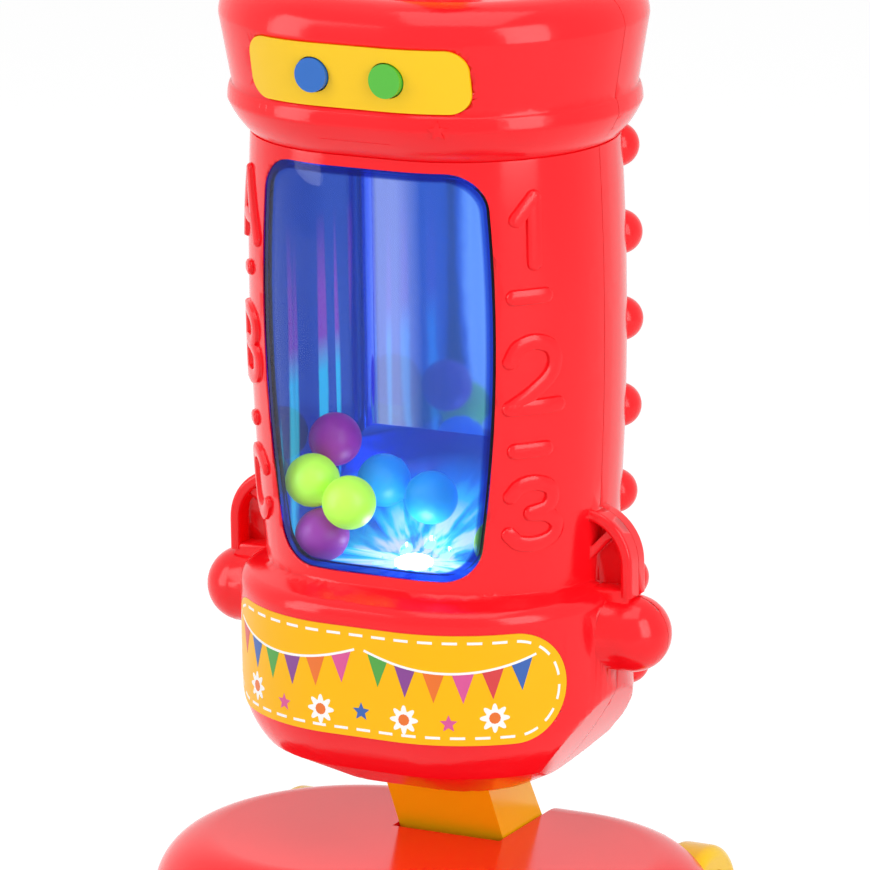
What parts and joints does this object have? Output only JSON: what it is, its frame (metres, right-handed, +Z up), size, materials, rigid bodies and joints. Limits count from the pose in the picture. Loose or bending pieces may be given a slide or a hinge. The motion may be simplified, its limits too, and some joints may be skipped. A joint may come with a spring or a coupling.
{
  "type": "toy vacuum cleaner",
  "caption": "Upright red toy vacuum cleaner with a blue window into a lit ball chamber, side arms and knobs, a loop handle and a tilting body on a wheeled floor head.",
  "frame": {"origin": "on the floor under the middle of the toy's box, body upright", "axes": "+Z up; the window faces -Y; +X is to the right of someone who looks at the window"},
  "size_m": [0.225, 0.155, 0.6],
  "materials": {
    "red_abs": "glossy moulded",
    "yellow_abs": "glossy moulded",
    "clear_blue": "clear, tinted",
    "label_film": "printed film",
    "liner_styrene": "glossy",
    "lens_clear": "frosted",
    "board_green": "solder mask",
    "steel": "plated",
    "black_abs": "fine texture",
    "grey_abs": "moulded",
    "white_abs": "moulded",
    "blue_abs": "glossy moulded",
    "green_abs": "glossy moulded",
    "foam_purple": "smooth",
    "foam_lime": "smooth",
    "foam_blue": "smooth",
    "cell_jacket": "printed jacket",
    "pad_rubber": "matt"
  },
  "bodies": {
    "floor_head": {"head_shell": "red_abs", "head_base": "yellow_abs", "bumper": "yellow_abs", "hinge_pin": "steel", "rear_axle": "steel", "axle_caps": "red_abs", "glide_pads": "pad_rubber", "base_screws": "steel"},
    "upper_body": {"front_shell": "red_abs", "rear_shell": "red_abs", "window": "clear_blue", "label_plate": "label_film", "collar_front": "red_abs", "collar_rear": "red_abs", "collar_panel": "yellow_abs", "main_board": "board_green", "speaker": "black_abs", "chamber_liner": "liner_styrene", "chamber_floor": "liner_styrene", "led_lens": "lens_clear", "led_board": "board_green", "blower_housing": "grey_abs", "motor": "steel", "battery_tray": "black_abs", "battery_cells": "cell_jacket", "battery_contacts": "steel", "shell_screws": "steel", "neck": "yellow_abs", "handle_tube": "yellow_abs", "grip_left": "red_abs", "grip_right": "red_abs", "grip_screws": "steel"},
    "left_wheel": {"wheel_left": "yellow_abs"},
    "right_wheel": {"wheel_right": "yellow_abs"},
    "fan": {"fan_impeller": "white_abs", "motor_shaft": "steel"},
    "left_button": {"sound_button_left": "blue_abs"},
    "right_button": {"sound_button_right": "green_abs"},
    "switch_slider": {"power_switch": "black_abs"},
    "door": {"battery_door": "red_abs", "battery_door_screw": "steel"},
    "ball_1": {"ball_1": "foam_purple"},
    "ball_2": {"ball_2": "foam_purple"},
    "ball_3": {"ball_3": "foam_lime"},
    "ball_4": {"ball_4": "foam_lime"},
    "ball_5": {"ball_5": "foam_blue"},
    "ball_6": {"ball_6": "foam_blue"},
    "ball_7": {"ball_7": "foam_lime"},
    "ball_8": {"ball_8": "foam_blue"}
  },
  "joints": [
    {"name": "body_tilt", "type": "hinge", "parent": "floor_head", "child": "upper_body", "pos_m": [0, 0.038, 0.036], "axis": [-1, 0, 0], "range_deg": [0, 45]},
    {"name": "left_wheel_spin", "type": "hinge", "parent": "floor_head", "child": "left_wheel", "pos_m": [-0.083, 0.053, 0.022], "axis": [1, 0, 0], "continuous": true},
    {"name": "right_wheel_spin", "type": "hinge", "parent": "floor_head", "child": "right_wheel", "pos_m": [0.083, 0.053, 0.022], "axis": [1, 0, 0], "continuous": true},
    {"name": "fan_spin", "type": "hinge", "parent": "upper_body", "child": "fan", "pos_m": [0, -0.012, 0.136], "axis": [0, 0, 1], "continuous": true},
    {"name": "left_button_press", "type": "slide", "parent": "upper_body", "child": "left_button", "axis": [0, 1, 0], "range_m": [0, 0.002], "stiffness_N_per_m": 250},
    {"name": "right_button_press", "type": "slide", "parent": "upper_body", "child": "right_button", "axis": [0, 1, 0], "range_m": [0, 0.002], "stiffness_N_per_m": 250},
    {"name": "switch_slide", "type": "slide", "parent": "upper_body", "child": "switch_slider", "axis": [0, 0, 1], "range_m": [0, 0.006]},
    {"name": "door_lift", "type": "slide", "parent": "upper_body", "child": "door", "axis": [0, 1, 0], "range_m": [0, 0.06]},
    {"name": "ball_1_toss", "type": "slide", "parent": "upper_body", "child": "ball_1", "axis": [0, 0, 1], "range_m": [0, 0.09]},
    {"name": "ball_2_toss", "type": "slide", "parent": "upper_body", "child": "ball_2", "axis": [0, 0, 1], "range_m": [0, 0.09]},
    {"name": "ball_3_toss", "type": "slide", "parent": "upper_body", "child": "ball_3", "axis": [0, 0, 1], "range_m": [0, 0.09]},
    {"name": "ball_4_toss", "type": "slide", "parent": "upper_body", "child": "ball_4", "axis": [0, 0, 1], "range_m": [0, 0.09]},
    {"name": "ball_5_toss", "type": "slide", "parent": "upper_body", "child": "ball_5", "axis": [0, 0, 1], "range_m": [0, 0.09]},
    {"name": "ball_6_toss", "type": "slide", "parent": "upper_body", "child": "ball_6", "axis": [0, 0, 1], "range_m": [0, 0.09]},
    {"name": "ball_7_toss", "type": "slide", "parent": "upper_body", "child": "ball_7", "axis": [0, 0, 1], "range_m": [0, 0.09]},
    {"name": "ball_8_toss", "type": "slide", "parent": "upper_body", "child": "ball_8", "axis": [0, 0, 1], "range_m": [0, 0.09]}
  ],
  "couplings": [
    {"joint": "ball_2_toss", "follows": "ball_1_toss", "ratio": 1},
    {"joint": "ball_3_toss", "follows": "ball_1_toss", "ratio": 1},
    {"joint": "ball_4_toss", "follows": "ball_1_toss", "ratio": 1},
    {"joint": "ball_5_toss", "follows": "ball_1_toss", "ratio": 1},
    {"joint": "ball_6_toss", "follows": "ball_1_toss", "ratio": 1},
    {"joint": "ball_7_toss", "follows": "ball_1_toss", "ratio": 1},
    {"joint": "ball_8_toss", "follows": "ball_1_toss", "ratio": 1}
  ]
}
